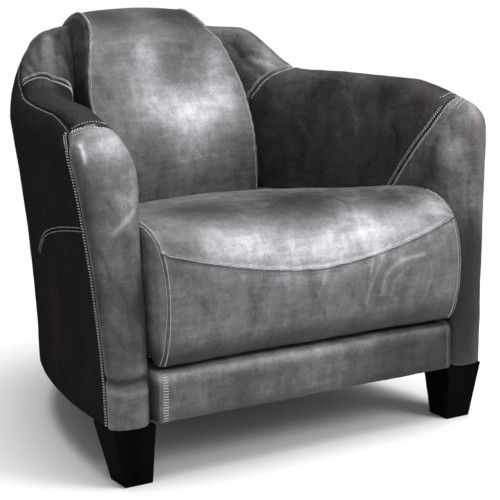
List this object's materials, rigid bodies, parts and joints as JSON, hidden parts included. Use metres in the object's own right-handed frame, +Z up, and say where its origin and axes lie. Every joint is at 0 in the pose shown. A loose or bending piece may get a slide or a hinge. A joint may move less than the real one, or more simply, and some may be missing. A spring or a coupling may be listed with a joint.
{
  "type": "worn club chair",
  "caption": "Worn grey and black leather club chair: a low tub with a raised middle back cushion, slanting stitched seams and black tapered feet.",
  "frame": {"origin": "on the floor, under the middle of the chair's bounding box", "axes": "+Z up, +Y towards the chair's back, +X towards the right arm as seen by someone facing the chair"},
  "size_m": [0.8294, 0.8001, 0.722],
  "materials": {
    "leather_grey": "worn, mottled grey, satin",
    "leather_dark": "worn near-black with brown, satin",
    "black_wood": "black stain, matt",
    "frame_wood": "raw sawn hardwood",
    "spring_steel": "drawn wire and pressed steel, dull",
    "bolt_steel": "zinc plated",
    "webbing": "woven jute",
    "deck_cloth": "padded cotton",
    "black_cloth": "black nonwoven cloth"
  },
  "bodies": {
    "root": {"arm_front_left": "leather_grey", "arm_front_right": "leather_grey", "wing_left": "leather_grey", "wing_right": "leather_grey", "middle_back_cushion": "leather_grey", "seat_cushion": "leather_grey", "front_border": "leather_grey", "arm_pad_left": "leather_dark", "arm_pad_right": "leather_dark", "side_panel_left": "leather_dark", "side_panel_right": "leather_dark", "back_corner_panel_left": "leather_dark", "back_corner_panel_right": "leather_dark", "back_centre_panel": "leather_dark", "front_rail": "frame_wood", "rear_seat_rail": "frame_wood", "rear_base_rail": "frame_wood", "back_top_rail": "frame_wood", "base_rail_left": "frame_wood", "base_rail_right": "frame_wood", "front_post_left": "frame_wood", "front_post_right": "frame_wood", "middle_post_left": "frame_wood", "middle_post_right": "frame_wood", "back_post_left": "frame_wood", "back_post_right": "frame_wood", "arm_rail_left": "frame_wood", "arm_rail_right": "frame_wood", "seat_spring_1": "spring_steel", "seat_spring_2": "spring_steel", "seat_spring_3": "spring_steel", "seat_spring_4": "spring_steel", "spring_clip_front_1": "spring_steel", "spring_clip_front_2": "spring_steel", "spring_clip_front_3": "spring_steel", "spring_clip_front_4": "spring_steel", "spring_clip_rear_1": "spring_steel", "spring_clip_rear_2": "spring_steel", "spring_clip_rear_3": "spring_steel", "spring_clip_rear_4": "spring_steel", "front_foot_left": "black_wood", "front_foot_right": "black_wood", "rear_foot_left": "black_wood", "rear_foot_right": "black_wood", "front_foot_bolt_left": "bolt_steel", "front_foot_bolt_right": "bolt_steel", "rear_foot_bolt_left": "bolt_steel", "rear_foot_bolt_right": "bolt_steel", "back_strap_1": "webbing", "back_strap_2": "webbing", "back_strap_3": "webbing", "deck_cloth": "deck_cloth", "dust_cover": "black_cloth"}
  },
  "joints": []
}
